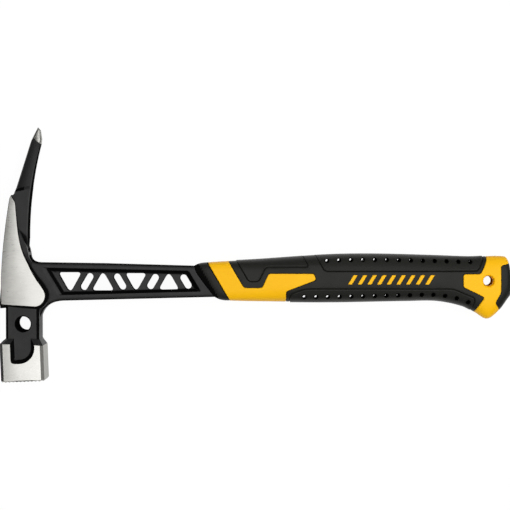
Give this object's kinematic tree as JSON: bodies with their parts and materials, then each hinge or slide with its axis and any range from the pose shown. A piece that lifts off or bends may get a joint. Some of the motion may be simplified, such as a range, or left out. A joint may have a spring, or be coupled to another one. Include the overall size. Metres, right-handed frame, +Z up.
{
  "type": "roofing hammer",
  "caption": "One-piece forged roofing hammer with a milled square face, a pointed pick, a truss shaft and a two-colour moulded grip with a hang hole.",
  "frame": {"origin": "middle of the underside of the hammer's box, as it lies flat on its side", "axes": "+X from the head to the butt, +Y from the striking face to the pick, +Z up through the thickness"},
  "size_m": [0.3292, 0.1634, 0.028],
  "materials": {
    "forged_steel": "satin black paint, with the cheeks, block and point ground bright",
    "hard_core": "moulded, satin gloss",
    "soft_grip": "moulded, matt"
  },
  "bodies": {
    "root": {"steel_forging": "forged_steel", "grip_core": "hard_core", "front_collar": "soft_grip", "grip_sleeve": "soft_grip", "thumb_pad": "soft_grip", "upper_grip_pad": "soft_grip", "lower_grip_pad": "soft_grip", "butt_pad": "soft_grip"}
  },
  "joints": []
}
